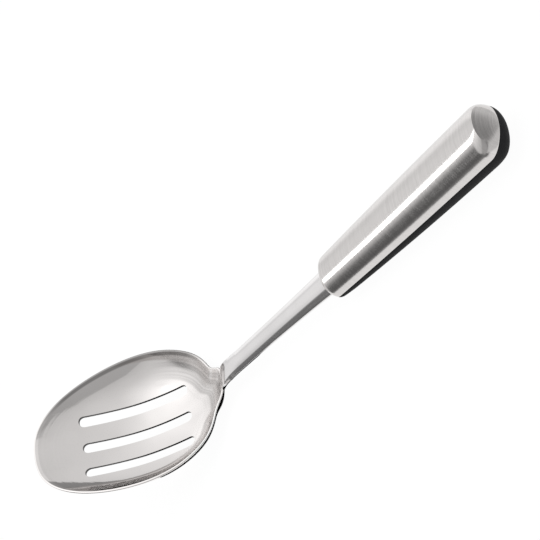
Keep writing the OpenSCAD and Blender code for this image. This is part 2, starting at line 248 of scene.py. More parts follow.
class Form:
    """The spoon's surfaces, drawn level: x from the bowl's tip, z from the plane of the rim."""

    def __init__(self, settings):
        self.bowl, self.shaft, self.handle = settings.bowl, settings.shaft, settings.handle
        b = self.bowl
        half = np.array([[p[0] * b.length, p[1] * (b.width - b.sheet) / 2, p[2] * b.crest_rise]
                         for p in RIM_SHARES])
        self.corners = np.vstack([half, half[-2:0:-1] * (1, -1, 1)])
        self.spans = len(self.corners)
        self.low_x = LOW_SHARE * b.length
        self.mid_depth = b.depth + b.sheet / 2
        self.set_shaft()
        self.set_rest()

    # The bowl's sheet, at share rho of the way from its lowest point to place u on its rim
    def rim(self, u):
        u = np.asarray(u, float)
        i = np.floor(u).astype(int)
        t = (u - i)[..., None]
        a, b, c, d = [self.corners[(i + k) % self.spans] for k in (-1, 0, 1, 2)]
        return ((1 - t) ** 3 * a + (3 * t ** 3 - 6 * t * t + 4) * b
                + (-3 * t ** 3 + 3 * t * t + 3 * t + 1) * c + t ** 3 * d) / 6

    def sheet_point(self, rho, u):
        rho = np.asarray(rho, float)
        r = self.rim(u)
        reach = np.hypot(r[..., 0] - self.low_x, r[..., 1])
        tipward = (1 + (self.low_x - r[..., 0]) / reach) / 2
        gentle = mix(*GENTLE_SHARES, tipward)
        far = np.abs(rho)
        wall = gentle * far ** GENTLE_POWER + (1 - gentle) * far ** mix(*STEEP_POWERS, tipward)
        ramp = (np.sqrt(1 + RAMP_K * rho * rho) - 1) / (math.sqrt(1 + RAMP_K) - 1)
        rise = mix(wall, ramp, tipward ** TIP_POWER)
        return np.stack([mix(self.low_x, r[..., 0], rho), r[..., 1] * rho,
                         mix(-self.mid_depth, r[..., 2], rise)], -1)

    def sheet_out(self, rho, u):
        return unit(self.sheet_point(rho + SLOPE_STEP, u) - self.sheet_point(rho - SLOPE_STEP, u))

    def sheet_up(self, rho, u):
        along = self.sheet_point(rho, u - SLOPE_STEP) - self.sheet_point(rho, u + SLOPE_STEP)
        return unit(np.cross(self.sheet_out(rho, u), along))

    def sheet_face(self, rho, u, side):
        return self.sheet_point(rho, u) + side * self.bowl.sheet / 2 * self.sheet_up(rho, u)

    def sheet_edge(self, u, turn=0.0):
        """The rolled edge of the sheet; turn runs from a quarter up to a quarter down."""
        one = np.ones_like(np.asarray(u, float))
        return self.sheet_point(one, u) + self.bowl.sheet / 2 * (
            math.cos(turn) * self.sheet_out(one, u) + math.sin(turn) * self.sheet_up(one, u))

    # The line between the shaft's upper edges: a bend, then a straight run to the handle
    def set_shaft(self):
        s, h = self.shaft, self.handle
        self.crest_p = (self.sheet_edge(np.array([self.spans / 2]))[0]
                        + upright(s.crest_angle) * self.bowl.sheet / 2)
        self.seat_p = self.crest_p + heading(s.rise) * s.length
        self.neck_p = (self.crest_p + heading(s.rise) * s.neck_length
                       + upright(s.rise) * s.neck_arch)
        run = angle_of(self.seat_p - self.neck_p)
        guides = [s.neck_length * part for part in BEND_SHARES]
        self.bend = [self.crest_p, self.crest_p + heading(s.crest_angle) * guides[0],
                     self.neck_p - heading(run) * guides[1], self.neck_p]
        self.neck_share = s.neck_length / s.length
        self.handle_p = self.seat_p - upright(h.pitch) * s.seat_top

    # The handle's sizes at distance s from its front, along its axis, inset by a wall t
    def split_at(self, s):
        h = self.handle
        return mix(h.split_front, h.split_butt, s / h.length)

    def nose_cut(self, s, t):
        h = self.handle
        return (h.front_round - t) * (1 - arc_close(s - t, h.front_round - t))

    def side_at(self, s, t):
        h = self.handle
        return ((mix(h.front_width, h.butt_width, ease(s / h.length)) / 2 - t - self.nose_cut(s, t))
                * arc_close(h.length - t - s, h.butt_round - t))

    def top_at(self, s, t):
        h = self.handle
        return ((mix(h.front_top, h.butt_top, s / h.length) - t - self.split_at(s)
                 - self.nose_cut(s, t)) * min(1, (h.length - t - s) / h.ridge_setback))

    def under_at(self, s, t):
        h = self.handle
        full = mix(h.front_under, h.butt_under, ease(s / h.length))
        return ((mix(h.nose_under, full, arc_close(s - t, h.under_front)) - t + self.split_at(s))
                * arc_close(h.length - t - s, h.under_butt - t))

    def on_handle(self, points):
        """Points along and across the handle's axis, put in the level spoon."""
        p = self.handle.pitch
        points = np.asarray(points, float)
        return (self.handle_p + points[..., :1] * heading(p) + points[..., 1:2] * np.array([0, 1, 0])
                + points[..., 2:] * upright(p))

    # Place at rest: a line that touches the bowl's heel and the handle's butt from below
    def set_rest(self):
        h = self.handle
        u = np.arange(self.spans * REST_STEPS) / REST_STEPS
        shares = ring_shares(REST_RINGS)
        heel = np.vstack([self.sheet_face(np.full(len(u), r), u, -1) for r in shares])
        stations = np.linspace(0, h.length, REST_STATIONS)[:-1]
        under = self.on_handle([[s, 0, self.split_at(s) - self.under_at(s, 0)] for s in stations])
        self.rest = max(min(angle_of(p - b) for p in under) for b in heel[heel[:, 0] > self.low_x])
        self.low = min(under @ upright(self.rest))
        end = self.on_handle([h.length, 0, h.split_butt])
        self.middle = (min(self.sheet_edge(u) @ heading(self.rest)) + end @ heading(self.rest)) / 2

    def at_rest(self, points):
        """Points of the level spoon, laid down at rest in the frame."""
        points = np.asarray(points, float)
        return np.stack([points @ heading(self.rest) - self.middle, points[..., 1],
                         points @ upright(self.rest) - self.low], -1)

    def rest_matrix(self):
        """The same move as a matrix."""
        a, b = heading(self.rest), upright(self.rest)
        return Matrix(((a[0], 0, a[2], -self.middle), (0, 1, 0, 0),
                       (b[0], 0, b[2], -self.low), (0, 0, 0, 1)))

    def handle_matrix(self):
        """From along and across the handle's axis to the frame."""
        p = self.handle.pitch
        a, b = heading(p), upright(p)
        o = self.handle_p
        return self.rest_matrix() @ Matrix(((a[0], 0, b[0], o[0]), (0, 1, 0, 0),
                                            (a[2], 0, b[2], o[2]), (0, 0, 0, 1)))


def ring_shares(rings):
    """Shares of the way to the rim at which rings stand, closer together towards the rim."""
    return [1 - (1 - i / rings) ** RING_POWER for i in range(1, rings + 1)]


def spread(a, b, steps, start, end):
    """Stations from a to b, drawn together towards the ends that the turn in degrees names."""
    turns = np.radians(mix(start, end, np.arange(1, steps + 1) / steps))
    first, last = math.sin(math.radians(start)), math.sin(math.radians(end))
    return list(mix(a, b, (np.sin(turns) - first) / (last - first)))


# Meshes.

def closed_loft(rings, start, finish):
    """Vertices and faces of a closed skin through rings, shut by a point at each end."""
    n, m = len(rings), len(rings[0])
    vertices = np.vstack([[start], *rings, [finish]])
    faces = [(0, 1 + j, 1 + (j + 1) % m) for j in range(m)]
    for i in range(n - 1):
        row = 1 + i * m
        faces += [(row + j, row + m + j, row + m + (j + 1) % m, row + (j + 1) % m)
                  for j in range(m)]
    last = 1 + (n - 1) * m
    faces += [(1 + n * m, last + (j + 1) % m, last + j) for j in range(m)]
    return vertices, faces


def new_object(name, data):
    """An object in the scene that holds a mesh, a lamp or a camera."""
    obj = bpy.data.objects.new(name, data)
    bpy.context.scene.collection.objects.link(obj)
    return obj


def mesh_object(name, vertices, faces, material=None):
    """An object at the origin from vertices in metres in the frame."""
    mesh = bpy.data.meshes.new(name)
    mesh.from_pydata([tuple(v) for v in vertices], [], faces)
    mesh.validate()
    if material:
        mesh.materials.append(material)
    mesh.shade_smooth()
    return new_object(name, mesh)


def baked(obj):
    """Turns an object's live modifiers into its plain mesh."""
    bpy.context.view_layer.update()
    graph = bpy.context.evaluated_depsgraph_get()
    mesh = bpy.data.meshes.new_from_object(obj.evaluated_get(graph))
    mesh.name = obj.name
    obj.modifiers.clear()
    obj.data = mesh
    return obj


def cut(obj, cutter):
    """Takes the cutter away from obj, and removes the cutter."""
    modifier = obj.modifiers.new("cut", "BOOLEAN")
    modifier.operation, modifier.solver, modifier.object = "DIFFERENCE", "EXACT", cutter
    baked(obj)
    bpy.data.objects.remove(cutter)
    return obj


def creased(obj, degrees):
    """Shades a piece smooth up to edges that turn by more than an angle."""
    obj.data.shade_smooth()
    obj.data.set_sharp_from_angle(angle=math.radians(degrees))


def dressed(obj, node):
    """Rides the finished piece on its body, in place of its plain solid."""
    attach(obj, "root")
    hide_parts(node)


# Node sums.

def overload(operation):
    """An operator and its reflected form, each of which adds a Math node."""
    return (lambda self, other: self.graph.math(operation, self, other),
            lambda self, other: self.graph.math(operation, other, self))


class Number:
    """A value at a socket; sums on it add Math nodes to its tree."""

    def __init__(self, graph, socket):
        self.graph, self.socket = graph, socket

    def also(self, output):
        """Another output of the same node."""
        return Number(self.graph, self.socket.node.outputs[output])

    __add__, __radd__ = overload("ADD")
    __sub__, __rsub__ = overload("SUBTRACT")
    __mul__, __rmul__ = overload("MULTIPLY")
    __truediv__, __rtruediv__ = overload("DIVIDE")

    def __neg__(self):
        return self * -1


class Graph:
    """A node tree, for a surface or a form, that is written as sums on its sockets."""

    def __init__(self, tree):
        self.tree = tree

    def node(self, kind, settings=None, inputs=None, output=0):
        """Adds a node: its settings first, then the values or links of its sockets."""
        node = self.tree.nodes.new(kind)
        for name, value in (settings or {}).items():
            if name == "stops":
                ramp = node.color_ramp
                while len(ramp.elements) < len(value):
                    ramp.elements.new(0.5)
                for element, (place, shade) in zip(ramp.elements, value):
                    element.position = place
                    element.color = (shade, shade, shade, 1)
            else:
                setattr(node, name, value)
        for name, value in (inputs or {}).items():
            self.feed(node.inputs[name], value)
        return Number(self, node.outputs[output]) if len(node.outputs) else node

    def feed(self, socket, value):
        """Links a value to a socket, or sets it there."""
        if isinstance(value, Number):
            self.tree.links.new(value.socket, socket)
        else:
            socket.default_value = value

    def math(self, operation, *terms):
        return self.node("ShaderNodeMath", {"operation": operation}, dict(enumerate(terms)))

    def vector(self, operation, *terms):
        return self.node("ShaderNodeVectorMath", {"operation": operation}, dict(enumerate(terms)))


# Finishes.

class Surface(Graph):
    """A material written as sums."""

    def __init__(self, name):
        self.material = bpy.data.materials.new(name)
        self.material.use_nodes = True
        super().__init__(self.material.node_tree)
        self.tree.nodes.clear()
        self.place = self.node("ShaderNodeTexCoord", output="Object")

    def turned(self, matrix):
        """The object's coordinates in the axes of a matrix."""
        inverse = matrix.inverted()
        return self.node("ShaderNodeMapping", None, {
            "Vector": self.place, "Location": inverse.translation, "Rotation": inverse.to_euler()})

    def noise(self, vector, scale, detail, roughness, distortion=0):
        """Noise of one scale, or of one for each axis, in marks for each metre."""
        if isinstance(scale, tuple):
            vector, scale = self.vector("MULTIPLY", vector, scale), 1
        return self.node("ShaderNodeTexNoise", {"noise_dimensions": "3D"}, {
            "Vector": vector, "Scale": scale, "Detail": detail, "Roughness": roughness,
            "Distortion": distortion})

    def span(self, value, low, high, to_low=0.0, to_high=1.0):
        """A value between two marks, carried over to two others and held there."""
        return self.node("ShaderNodeMapRange", {"clamp": True}, {
            "Value": value, "From Min": low, "From Max": high, "To Min": to_low, "To Max": to_high})

    def blend(self, factor, first, second):
        """A colour between two colours."""
        return self.node("ShaderNodeMix", {"data_type": "RGBA"}, {
            "Factor": factor, 6: first, 7: second}, output=2)

    def shifted(self, shade, value, low, high, *gains):
        """A colour that a value shifts from one gain to another between two marks."""
        return self.blend(self.span(value, low, high), *[rgba(shade, gain) for gain in gains])

    def gained(self, shade, gain):
        """A colour times a number that changes over the surface."""
        grey = self.node("ShaderNodeCombineXYZ", None, {0: gain, 1: gain, 2: gain})
        return self.vector("MULTIPLY", shade, grey)

    def finish(self, shade, roughness, relief, distance, strength=1.0, **more):
        """Ends the tree in a Principled shader, over a relief of so many metres."""
        bump = self.node("ShaderNodeBump", None, {
            "Strength": strength, "Distance": distance, "Height": relief})
        shader = self.node("ShaderNodeBsdfPrincipled", None, {
            "Base Color": shade, "Roughness": roughness, "Normal": bump, **more})
        self.node("ShaderNodeOutputMaterial", None, {"Surface": shader})
        return self.material


def rgba(shade, gain=1.0):
    """A full colour from red, green and blue, made darker or lighter by a gain."""
    return tuple(min(1.0, c * gain) for c in shade) + (1.0,)


# Where the bowl's finishes and its painted light set in, or fade where the note says so: along and
# across the level bowl in metres, and as shares of the way from its lowest place to its rim.
FRONT_ALONG = (0.03, 0.055)  # fades
HEEL_ALONG = (0.058, 0.074)
NEAR_ACROSS = (-0.012, -0.002)  # fades
FAR_ACROSS = (0.016, 0.024)
HEEL_UP = (0.45, 0.68)
FOLD_SHADE_UP = (0.6, 0.76)
RINGS_UP = (0.55, 0.85)
RINGS_OUT = (0.93, 0.95)  # fades
MIRROR_SHADE_UP = (0.72, 0.88)
LIP_UP = (0.972, 0.982)


def polished_steel(form, finish):
    """Fine polish: rings that follow the rim, faint marks drawn across, scratches; and painted light:
    a painted highlight on the heel, its near wall and the lip, a painted dark line on the far lip,
    painted shade in bands like folds at the heel, on the slots' walls and in mirrored rays near the
    rim.
    """
    s = Surface("polished_steel")
    level = s.turned(form.rest_matrix())
    along = s.node("ShaderNodeSeparateXYZ", None, {0: level})
    across = along.also(1)
    toward_rim = s.node("ShaderNodeAttribute", {"attribute_name": "rim_share"}, output="Fac")
    punched = s.node("ShaderNodeAttribute", {"attribute_name": "punched"}, output="Fac")

    def bands(fineness, wander, detail, roughness):
        """Noise in bands that run along the rim and wander a little on their way."""
        place = s.node("ShaderNodeCombineXYZ", None, {0: toward_rim * fineness})
        strayed = s.vector("MULTIPLY", level, (wander, wander, wander))
        return s.noise(s.vector("ADD", place, strayed), 1, detail, roughness)

    front = s.span(along, *FRONT_ALONG, 1, 0)
    heel = s.span(along, *HEEL_ALONG) * s.span(toward_rim, *HEEL_UP)
    near_side = s.span(across, *NEAR_ACROSS, 1, 0)
    far_side = s.span(across, *FAR_ACROSS)
    lip = s.span(toward_rim, *LIP_UP)
    on_wall = s.span(toward_rim, *RINGS_UP, 0.1, 1) * s.span(toward_rim, *RINGS_OUT, 1, 0)
    rings = bands(fineness=34, wander=9, detail=3, roughness=0.6) * on_wall * front
    # Painted shade: soft dark bands like folds that run along the rim at the heel
    painted_fold_shade = s.span(bands(fineness=15, wander=3, detail=2, roughness=0.4), 0.42, 0.58)
    painted_fold_shade = painted_fold_shade * heel * s.span(toward_rim, *FOLD_SHADE_UP)
    streaks = s.noise(level, (60, 1800, 60), detail=3, roughness=0.6)
    scratch = s.noise(level, (120, 1500, 200), detail=2, roughness=0.7, distortion=0.4)
    cloud = s.noise(level, 45, detail=3, roughness=0.5)
    roughness = (0.045 + s.span(streaks, 0.3, 0.7, 0, 0.02) + s.span(cloud, 0.3, 0.7, 0, 0.015)
                 + s.span(scratch, 0.64, 0.72) * 0.1 + heel * 0.2 + punched * 0.3)
    # Painted light: the heel a little lighter, a painted highlight on its near wall and on the lip, a
    # painted dark line on the far lip, and painted shade in bands like folds at the heel
    painted_light_gain = 1 + heel * (0.05 + near_side * 0.16) - painted_fold_shade * 0.3 + lip * (0.2 - far_side * 0.7)
    shade = s.gained(s.shifted(finish.bowl_steel, cloud, 0.35, 0.65, 1, 0.95), painted_light_gain)
    # Painted shade: near the rim, rays mirrored from other steel see this steel darker
    mirrored = s.node("ShaderNodeLightPath", output="Is Glossy Ray")
    painted_mirror_shade = mirrored * front * s.span(toward_rim, *MIRROR_SHADE_UP)
    shade = s.blend(painted_mirror_shade, shade, rgba(finish.bowl_steel, 0.55))
    # Painted shade: the slots' walls are made nearly black
    shade = s.blend(punched, shade, rgba(finish.bowl_steel, 0.1))
    relief = (streaks * 0.08 + scratch * 0.04) * front + rings * 0.8
    return s.finish(shade, roughness, relief, distance=0.00002, Metallic=1.0)


def satin_steel(form, finish):
    """The shaft's satin steel, drawn along its length."""
    s = Surface("satin_steel")
    along = s.turned(form.handle_matrix())
    lines = s.noise(along, (90, 3000, 3000), detail=4, roughness=0.6)
    cloud = s.noise(along, 60, detail=3, roughness=0.5)
    roughness = 0.1 + s.span(lines, 0.3, 0.7, 0, 0.05) + s.span(cloud, 0.3, 0.7, 0, 0.03)
    shade = s.shifted(finish.shaft_steel, cloud, 0.35, 0.65, 1, 0.94)
    return s.finish(shade, roughness, lines, strength=0.15, distance=0.00002, Metallic=1.0)


def brushed_steel(form, finish):
    """Steel brushed round the handle, so that its hairlines run across the axis."""
    s = Surface("brushed_steel")
    along = s.turned(form.handle_matrix())
    fine = 1 / finish.hairline
    lines = s.noise(along, (fine, 25, 25), detail=5, roughness=0.65)
    broad = s.noise(along, (fine / 4, 70, 70), detail=3, roughness=0.6)
    both = lines * 0.6 + broad * 0.4
    roughness = 0.1 + s.span(both, 0.3, 0.7, 0, 0.08)
    shade = s.shifted(finish.shell_steel, both, 0.35, 0.65, 0.93, 1.06)
    return s.finish(shade, roughness, lines * 0.8 + broad * 0.5, strength=0.8, distance=0.00004,
                    Metallic=1.0)


def soft_grip(form, finish):
    """Soft black plastic with a fine moulded grain, a little paler where hands rub it."""
    s = Surface("soft_grip")
    along = s.turned(form.handle_matrix())
    grain = s.noise(along, 3800, detail=2, roughness=0.6)
    cloud = s.noise(along, 70, detail=4, roughness=0.55)
    shade = s.shifted(finish.grip, cloud, 0.35, 0.7, 1, 1.5)
    roughness = 0.52 + s.span(cloud, 0.3, 0.7, 0, 0.08) + s.span(grain, 0.35, 0.65, 0, 0.05)
    return s.finish(shade, roughness, grain, strength=0.3, distance=0.00002,
                    **{"Specular IOR Level": 0.03})


def core_plastic(finish):
    """Plain moulded plastic with a dull grain."""
    s = Surface("core_plastic")
    grain = s.noise(s.place, 2500, detail=3, roughness=0.6)
    shade = s.shifted(finish.core, grain, 0.35, 0.65, 1, 1.4)
    roughness = s.span(grain, 0.3, 0.7, 0.5, 0.62)
    return s.finish(shade, roughness, grain, strength=0.2, distance=0.00002)


# Bowl.

# Rounding of a slot's ends, as a share of its width, just short of a double point at a half
END_ROUND = 0.4999
# How finely places on the sheet are found: steps on the rim, passes and the least share
PLACE_STEPS = 200
PLACE_PASSES = 4
LEAST_SHARE = 0.01
# The share of the lip's inner edge, and how level with the sheet its own faces are
ON_LIP = 0.97
IN_SHEET = 0.6


def slot_cutters(form):
    """A Geometry Nodes tree that stands rounded bars side by side where the slots are punched."""
    b = form.bowl
    tree = bpy.data.node_groups.new("slot_cutters", "GeometryNodeTree")
    sizes = {"Length": b.slot_length, "Width": b.slot_width, "Pitch": b.slot_pitch,
             "Start": b.slot_start, "Height": form.mid_depth + 3 * b.sheet, "Count": b.slot_count}
    tree.interface.new_socket("Geometry", in_out="OUTPUT", socket_type="NodeSocketGeometry")
    sockets = [tree.interface.new_socket(name, in_out="INPUT", socket_type="NodeSocket" + (
        "Int" if name == "Count" else "Float")) for name in sizes]
    g = Graph(tree)
    group = g.node("NodeGroupInput", output="Count")
    length, width, pitch, start, tall, count = [group.also(name) for name in sizes]
    outline = g.node("GeometryNodeCurvePrimitiveQuadrilateral", None,
                     {"Width": length, "Height": width})
    outline = g.node("GeometryNodeFilletCurve", {"mode": "POLY"},
                     {"Curve": outline, "Count": CORNER_STEPS * 2, "Radius": width * END_ROUND})
    foot = g.node("ShaderNodeCombineXYZ", None, {2: -tall})
    path = g.node("GeometryNodeCurvePrimitiveLine", None, {"Start": foot, "End": (0, 0, 0)})
    bar = g.node("GeometryNodeCurveToMesh", None,
                 {"Curve": path, "Profile Curve": outline, "Fill Caps": True})
    first = g.node("ShaderNodeCombineXYZ", None,
                   {0: start + length * 0.5, 1: (count - 1) * pitch * -0.5, 2: b.sheet})
    step = g.node("ShaderNodeCombineXYZ", None, {1: pitch})
    row = g.node("GeometryNodeMeshLine", None,
                 {"Count": count, "Start Location": first, "Offset": step})
    bars = g.node("GeometryNodeInstanceOnPoints", None, {"Points": row, "Instance": bar})
    bars = g.node("GeometryNodeRealizeInstances", None, {"Geometry": bars})
    bars = g.node("GeometryNodeSetMaterial", None,
                  {"Geometry": bars, "Material": bpy.data.materials["polished_steel"]})
    g.node("NodeGroupOutput", None, {"Geometry": bars})
    obj = new_object("slot_cutters", bpy.data.meshes.new("slot_cutters"))
    modifier = obj.modifiers.new("slots", "NODES")
    modifier.node_group = tree
    for socket in sockets:
        modifier[socket.identifier] = sizes[socket.name]
    baked(obj)
    obj.data.transform(form.rest_matrix())
    return obj


def sheet_place(form, points):
    """How far towards the rim points of the level bowl lie, and the sheet's upward side there."""
    u = np.linspace(0, form.spans, form.spans * PLACE_STEPS, endpoint=False)
    rim = form.rim(u)
    turn = np.unwrap(np.arctan2(rim[:, 1], form.low_x - rim[:, 0]))
    reach = np.hypot(rim[:, 0] - form.low_x, rim[:, 1])
    flat = points[:, :2].copy()
    for _ in range(PLACE_PASSES):
        angle = np.mod(np.arctan2(flat[:, 1], form.low_x - flat[:, 0]), 2 * math.pi)
        place = np.interp(angle, turn, u, period=2 * math.pi)
        rho = np.hypot(flat[:, 0] - form.low_x, flat[:, 1]) / np.interp(place, u, reach)
        rho = np.clip(rho, LEAST_SHARE, 1)
        on_sheet = form.sheet_point(rho, place)
        up = form.sheet_up(rho, place)
        lift = np.sum((points - on_sheet) * up, axis=1, keepdims=True)
        flat = points[:, :2] - (lift * up)[:, :2]
    return rho, up


def make_bowl(form, finish):
    """The sheet's two faces and its rolled lip as one skin, with the slots punched through."""
    u = np.arange(form.spans * RIM_STEPS) / RIM_STEPS
    full = [np.full(len(u), r) for r in ring_shares(BOWL_RINGS)]
    turns = np.radians(np.linspace(90, -90, LIP_STEPS + 1))[1:-1]
    rings = ([form.sheet_face(r, u, 1) for r in full] + [form.sheet_edge(u, t) for t in turns]
             + [form.sheet_face(r, u, -1) for r in full[::-1]])
    depth = form.bowl.depth
    vertices, faces = closed_loft(rings, [form.low_x, 0, -depth],
                                  [form.low_x, 0, -depth - form.bowl.sheet])
    obj = mesh_object("bowl_polished", form.at_rest(vertices), faces, polished_steel(form, finish))
    cut(obj, slot_cutters(form))
    smooth_sheet(obj, form)
    dressed(obj, "bowl")


def smooth_sheet(obj, form):
    """Gives the punched sheet the smooth normals of its form, and the slots' walls their own."""
    mesh = obj.data
    points = np.empty(len(mesh.vertices) * 3)
    mesh.vertices.foreach_get("co", points)
    back = np.array(form.rest_matrix().inverted())
    level = points.reshape(-1, 3) @ back[:3, :3].T + back[:3, 3]
    rho, up = sheet_place(form, level)
    mesh.attributes.new("rim_share", "FLOAT", "POINT").data.foreach_set("value", rho)
    up = up @ np.array(form.rest_matrix())[:3, :3].T
    creased(obj, SHEET_CREASE)
    own = np.array([c.vector for c in mesh.corner_normals])
    punched = mesh.attributes.new("punched", "FLOAT", "FACE")
    for polygon in mesh.polygons:
        normal = np.array(polygon.normal)
        for loop in polygon.loop_indices:
            vertex = mesh.loops[loop].vertex_index
            if rho[vertex] < ON_LIP:
                facing = float(normal @ up[vertex])
                if abs(facing) > IN_SHEET:
                    own[loop] = up[vertex] * math.copysign(1, facing)
                else:
                    punched.data[polygon.index].value = 1
    mesh.normals_split_custom_set([tuple(v) for v in own])


# Shaft.

def shaft_section(form, u):
    """Half width, height and lean of the sides and height of the crown at share u of the shaft."""
    s = form.shaft
    width = (s.waist_width + (s.crest_width - s.waist_width) * max(0, 1 - u / WAIST_SHARE) ** 2
             + (s.seat_width - s.waist_width) * u ** WIDEN_POWER)
    swell = min(1, u / SWELL_SHARE)
    side = mix(form.bowl.sheet, mix(s.neck_side, s.seat_side, u), ease(swell))
    return width / 2, side, s.side_lean * swell, s.crown * min(1, u / WAIST_SHARE)


def shaft_outline(form, half, side, lean, crown, grow):
    """The section across the path: rounded lower edges, leaning sides and a crowned top."""
    r = min(form.shaft.corner, side / 3)
    middle = half + ((side - r) * math.sin(lean) - r) / math.cos(lean)
    turns = np.linspace(-math.pi / 2, lean, CORNER_STEPS + 1)
    right = [(middle + (r + grow) * math.cos(a), r - side + (r + grow) * math.sin(a))
             for a in turns]
    left = [(-y, z) for y, z in right[::-1]]
    top = np.linspace(0, math.pi, CROWN_STEPS + 1)
    over = [((half + grow) * math.cos(a), grow + crown * math.sin(a) ** 2) for a in top]
    sides = np.linspace(0, 1, SIDE_STEPS + 1)[1:-1]
    (end_y, end_z), (top_y, top_z) = right[-1], over[0]
    up = [(mix(end_y, top_y, t), mix(end_z, top_z, t)) for t in sides]
    down = [(-y, z) for y, z in up[::-1]]
    return left + right + up + over + down


def shaft_path(form, u):
    """Point and slope of the line between the upper edges at share u."""
    def point(v):
        if v >= form.neck_share:
            return mix(form.neck_p, form.seat_p, (v - form.neck_share) / (1 - form.neck_share))
        t, p = v / form.neck_share, form.bend
        return ((1 - t) ** 3 * p[0] + 3 * t * (1 - t) ** 2 * p[1] + 3 * t * t * (1 - t) * p[2]
                + t ** 3 * p[3])
    return point(u), angle_of(point(min(1, u + SLOPE_STEP)) - point(max(0, u - SLOPE_STEP)))


def make_shaft(form, finish):
    """The bare shaft, from the joint face at the bowl's crest to its seat in the handle."""
    rings = []
    pitch = form.handle.pitch
    for i in range(SHAFT_STEPS + 1):
        u = i / SHAFT_STEPS
        p, angle = (form.seat_p, pitch) if i == SHAFT_STEPS else shaft_path(form, u)
        outline = shaft_outline(form, *shaft_section(form, u), 0)
        rings.append([p + (0, y, 0) + upright(angle) * z for y, z in outline])
    end = form.seat_p + heading(pitch) * form.shaft.seat_length
    rings.append([end + (0, y, 0) + upright(pitch) * z for y, z in outline])
    vertices, faces = closed_loft(
        rings, form.crest_p - upright(form.shaft.crest_angle) * form.bowl.sheet / 2,
        end - upright(pitch) * form.shaft.seat_side / 2)
    obj = mesh_object("shaft_satin", form.at_rest(vertices), faces, satin_steel(form, finish))
    creased(obj, SHAFT_CREASE)
    dressed(obj, "shaft")


# Handle.

def half_oval(s, width, rise, edge, power, lip):
    """Half an oval across the handle, its two ends rounded inwards by a lip."""
    turns = np.radians(90 - 90 * np.cos(np.radians(np.linspace(0, 180, ARC_STEPS + 1))))
    across = width * np.sign(np.cos(turns)) * np.abs(np.cos(turns)) ** (2 / power)
    up = rise * np.maximum(0, np.sin(turns)) ** (2 / power)
    if lip:
        near = np.clip(1 - np.abs(up) / lip, 0, 1)
        pull = lip * (1 - np.sqrt(1 - near ** 2))
        across = across - np.sign(across) * np.minimum(pull, np.abs(across))
    return np.stack([np.full(len(turns), s), across, edge + up], 1)


def half_wall(outer, inner, tips):
    """A half-open wall between outer and inner arcs, with a tip at each end of each."""
    n, m = len(outer), len(outer[0])

    def at(skin, i, j):
        """The vertex at place j of arc i of the outer skin, 0, or the inner one, 1."""
        if 0 <= i < n:
            return (skin * n + i) * m + j
        return 2 * n * m + 2 * skin + (i >= n)

    faces = []
    for i in range(n - 1):
        for j in range(m - 1):
            faces.append((at(0, i, j), at(0, i + 1, j), at(0, i + 1, j + 1), at(0, i, j + 1)))
            faces.append((at(1, i, j), at(1, i, j + 1), at(1, i + 1, j + 1), at(1, i + 1, j)))
    for j in range(m - 1):
        faces += [(at(0, -1, 0), at(0, 0, j), at(0, 0, j + 1)),
                  (at(0, n, 0), at(0, n - 1, j + 1), at(0, n - 1, j)),
                  (at(1, -1, 0), at(1, 0, j + 1), at(1, 0, j)),
                  (at(1, n, 0), at(1, n - 1, j), at(1, n - 1, j + 1))]
    for i in range(-1, n):
        faces += [(at(0, i + 1, 0), at(0, i, 0), at(1, i, 0), at(1, i + 1, 0)),
                  (at(0, i, m - 1), at(0, i + 1, m - 1), at(1, i + 1, m - 1), at(1, i, m - 1))]
    return np.vstack([*outer, *inner, tips]), faces


def shaft_room(form):
    """A bar of the shaft's section that opens the front of the handle."""
    outline = shaft_outline(form, *shaft_section(form, 1), form.handle.gap)
    top, reach = form.shaft.seat_top, form.shaft.seat_length + form.handle.gap
    rings = [[(s, y, top + z) for y, z in outline] for s in (-reach, reach)]
    middle = top - form.shaft.seat_side / 2
    vertices, faces = closed_loft([np.array(r) for r in rings], [-reach, 0, middle],
                                  [reach, 0, middle])
    return mesh_object("shaft_room", form.at_rest(form.on_handle(vertices)), faces)


def front_stations(t, front, back):
    """Stations of a wall t's skin from the front, round its nose and along its body."""
    return [t] + spread(t, front, NOSE_STEPS, -90, 0) + spread(front, back, BODY_STEPS, -60, 60)


def end_stations(a, b, steps):
    """Stations from past a to before b, the last ones closer together."""
    return [mix(a, b, ease(i / (steps + 1))) for i in range(1, steps + 1)]


def half_piece(form, name, material, stations, arc, wall, edge):
    """A thin half-open piece of the handle, with room for the shaft in its front."""
    length = form.handle.length
    tips = [[s, 0, edge(s)] for s in (0, length, wall, length - wall)]
    outer, inner = [[arc(s, t) for s in stations(t)] for t in (0, wall)]
    vertices, faces = half_wall(outer, inner, tips)
    obj = mesh_object(name, form.at_rest(form.on_handle(vertices)), faces, material)
    return cut(obj, shaft_room(form))


def make_shell(form, finish):
    """The steel upper half, from its rounded nose to the flattened end behind its ridge."""
    h = form.handle
    ridge = h.length - h.ridge_setback

    def stations(t):
        butt = h.length - h.butt_round
        return (front_stations(t, h.front_round, butt) + spread(butt, ridge - t, BUTT_STEPS, 0, 50)
                + end_stations(ridge - t, h.length - t, RIDGE_STEPS))

    def arc(s, t):
        return half_oval(s, form.side_at(s, t), form.top_at(s, t), form.split_at(s), TOP_POWER,
                         0 if t else min(h.shell_lip, form.side_at(s, t) / 2))

    obj = half_piece(form, "shell_brushed", brushed_steel(form, finish), stations, arc,
                     h.shell_wall, form.split_at)
    creased(obj, SHELL_CREASE)
    dressed(obj, "handle_shell")


